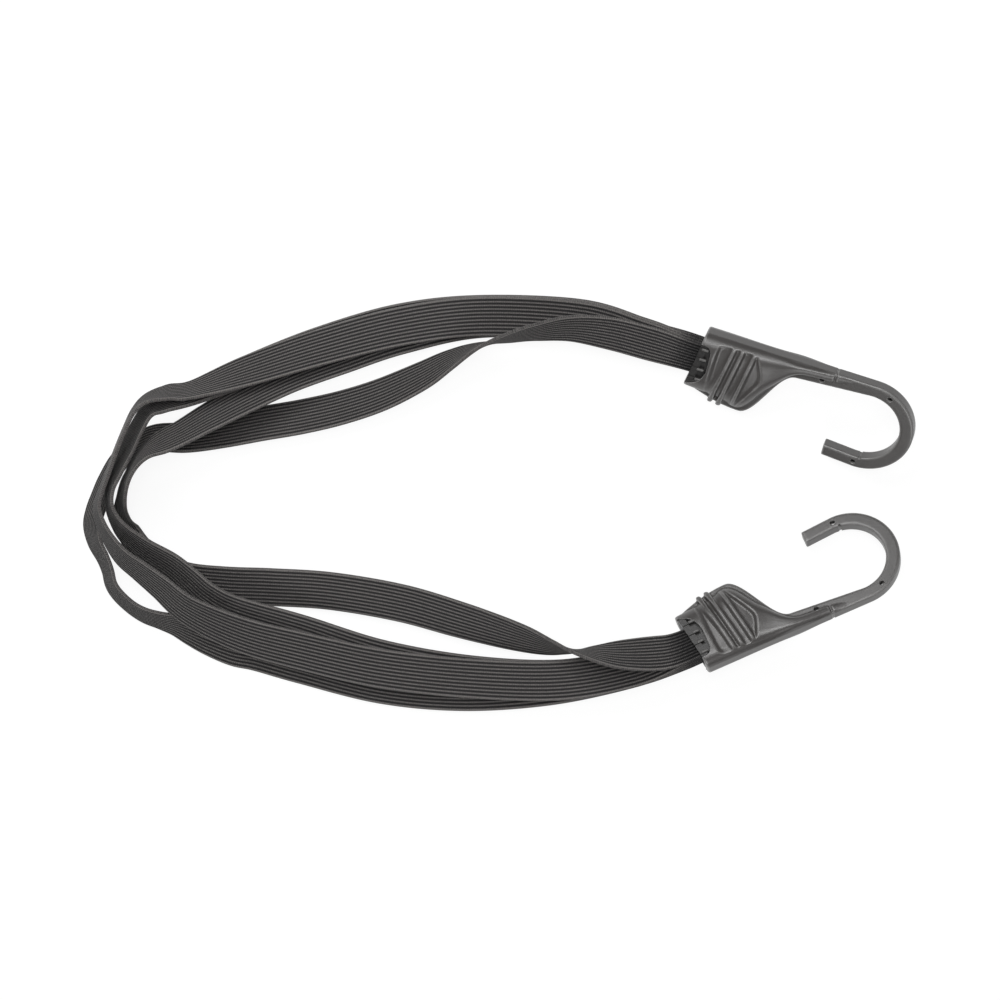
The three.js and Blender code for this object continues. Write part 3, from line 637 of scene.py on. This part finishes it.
core = [(core_start[0] + core_step[0] * k, core_start[1] + core_step[1] * k) for k in range(5)]
core += [*half_turn(bend_x, bend_y, core_bend, core_steps, -1), core_end]
window = [(mouth_x, window_low)]
for t in (k / 8 for k in range(9)):
    x = window_in - window_round + window_round * t * (2 - t)
    window.append((x, window_low + window_round * t * t))
for t in (k / 16 for k in range(17)):
    x = window_in - (window_in - mouth_x) * t * t
    window.append((x, window_middle + window_rise * t * (2 - t)))
notches = (notch_x, notch_deep - notch_cut), (tip_notch_x, tip_low)
cuts = [
    ("socket", -socket_half, socket_half, oblong(mouth_x, socket_low, socket_end, socket_high)),
    ("front", -socket_half, socket_half, oblong(mouth_x, front_low, front_end, front_high)),
    ("window_up", window_floor, window_top, window),
    ("window_down", -window_top, -window_floor, window),
]
for name, (x, y) in zip(("notch", "tip_notch"), notches):
    sides = oblong(x - notch_wide / 2, y, x + notch_wide / 2, y + notch_cut)
    cuts.append((name, -cut_half, cut_half, sides))
for n, (x, y) in enumerate(pins):
    angles = [2 * math.pi * k / pin_sides for k in range(pin_sides)]
    rim = [(x + pin_radius * math.cos(a), y + pin_radius * math.sin(a)) for a in angles]
    cuts.append((f"pin_{n}", -cut_half, cut_half, rim))

cutters = []
for name, low, high, shape in cuts:
    bm = bmesh.new()
    face = bm.faces.new([bm.verts.new((x, y, low)) for x, y in shape])
    raised = bmesh.ops.extrude_face_region(bm, geom=[face])["geom"]
    lid = [vert for vert in raised if isinstance(vert, bmesh.types.BMVert)]
    bmesh.ops.translate(bm, vec=(0, 0, high - low), verts=lid)
    bmesh.ops.recalc_face_normals(bm, faces=bm.faces)
    to_metres(bm)
    cutters.append(new_piece(bm, name))
channel = polyline("channel", [(x * millimetre, y * millimetre) for x, y in core], "3D")
channel.bevel_depth = core_radius * millimetre
channel.use_fill_caps = True
bore = bpy.data.objects.new("bore", curve_mesh(channel))
scene.collection.objects.link(bore)
cutters.append(bore)
for cutter in cutters:
    cut = moulding.modifiers.new(cutter.name, "BOOLEAN")
    cut.operation = "DIFFERENCE"
    cut.object = cutter
    cut.solver = "EXACT"
solid = finished_mesh(moulding)
for cutter in cutters:
    bpy.data.objects.remove(cutter)

# Both hooks are this moulding in its place. Sharp ridges are marked, so that they are painted
# paler as highlights.
highlight_gain = 9
for end, place in places.items():
    bm = bmesh.new()
    bm.from_mesh(solid)
    # Painted highlight: how sharply the surface bends at each point, for a paler colour there.
    highlight_layer = bm.verts.layers.float.new("edge")
    for vert in bm.verts:
        ways = [(edge.other_vert(vert).co - vert.co).normalized() for edge in vert.link_edges]
        swing = sum(way.dot(vert.normal) for way in ways)
        vert[highlight_layer] = clamp(-swing / max(len(ways), 1) * highlight_gain)
    bm.transform(place["matrix"])
    for face in bm.faces:
        face.smooth = True
    body = new_piece(bm, f"hook_{end}_moulding", plastic)
    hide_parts(f"hook_{end}_body")
    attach(body, f"hook_{end}")

# Clamp jaws: two nylon plates in each mouth that hold the bands between them, seen through the
# windows. Their heads carry four rounded teeth. The plates are coloured dark as painted shade in
# the windows, and the crowns of the teeth are painted paler as highlights.
tooth_count, tooth_radius, tooth_long, tooth_round = 4, 0.7, 3.3, 0.4
tooth_x, tooth_pitch, tooth_height, tooth_pale = 2.1, 5.3, 7.2, 7.1
shaded_jaw_plastic, tree, shader = new_material("jaw_plastic")
object_spot = Wire.node(tree, "TexCoord", {}, {}, "Object")
speck = Wire.node(tree, "TexNoise", {}, {"Vector": object_spot, "Scale": 700, "Detail": 4}, "Fac")
painted_highlight = Wire.node(tree, "Attribute", {"attribute_name": "tooth"}, {}, "Fac")
# Painted shade: the plates are coloured dark to deepen the shade inside the windows.
jaw_colours = (
    (0.0, (0.016, 0.016, 0.016)),
    (0.3, (0.04, 0.038, 0.037)),
    (1.0, (0.16, 0.157, 0.153)),
)
shade = speck * 0.3 + painted_highlight * 0.6
Wire.fill(tree, shader, {
    "Base Color": Wire.node(tree, "ValToRGB", {"stops": jaw_colours}, {"Fac": shade}),
    "Roughness": speck * 0.25 + 0.3,
    "Normal": Wire.node(tree, "Bump", {}, {"Strength": 0.3, "Distance": 0.0001, "Height": speck}),
})
lying = Matrix.Rotation(math.pi / 2, 3, "Y")
for end, place in places.items():
    for jaw, up in (("front", 1), ("back", -1)):
        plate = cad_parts[f"hook_{end}_clamp_{jaw}"]
        plate.data.materials.clear()
        plate.data.materials.append(shaded_jaw_plastic)
        bm = bmesh.new()
        for k in range(tooth_count):
            bar = bmesh.ops.create_cone(
                bm, cap_ends=True, segments=24, depth=tooth_long,
                radius1=tooth_radius, radius2=tooth_radius,
            )["verts"]
            y = socket_middle / millimetre + tooth_pitch * (k - (tooth_count - 1) / 2)
            bmesh.ops.rotate(bm, verts=bar, cent=(0, 0, 0), matrix=lying)
            bmesh.ops.translate(bm, verts=bar, vec=(tooth_x, y, up * tooth_height))
        rims = [edge for edge in bm.edges if any(len(face.verts) > 4 for face in edge.link_faces)]
        bmesh.ops.bevel(
            bm, geom=rims, offset=tooth_round, segments=3, profile=0.5, affect="EDGES", material=-1,
        )
        # Painted highlight on the outward crown of each tooth.
        tooth = bm.verts.layers.float.new("tooth")
        for vert in bm.verts:
            vert[tooth] = clamp((abs(vert.co.z) - tooth_pale) / tooth_radius)
        for face in bm.faces:
            face.smooth = True
        to_metres(bm)
        bm.transform(place["matrix"])
        teeth = new_piece(bm, f"hook_{end}_teeth_{jaw}", shaded_jaw_plastic)
        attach(teeth, f"hook_{end}")

# Steel cores: drawn wire moulded into each hook's arm to stiffen it, seen only as a glint down the
# pin holes that the mould leaves.
steel, tree, shader = new_material("core_steel")
object_spot = Wire.node(tree, "TexCoord", {}, {}, "Object")
streak = Wire.node(tree, "TexNoise", {}, {"Vector": object_spot, "Scale": 900}, "Fac")
steel_colours = ((0.2, (0.32, 0.32, 0.32)), (0.8, (0.6, 0.6, 0.59)))
Wire.fill(tree, shader, {
    "Base Color": Wire.node(tree, "ValToRGB", {"stops": steel_colours}, {"Fac": streak}),
    "Metallic": 1,
    "Roughness": streak * 0.3 + 0.25,
})
for end in places:
    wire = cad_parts[f"hook_{end}_steel_core"]
    wire.data.materials.clear()
    wire.data.materials.append(steel)
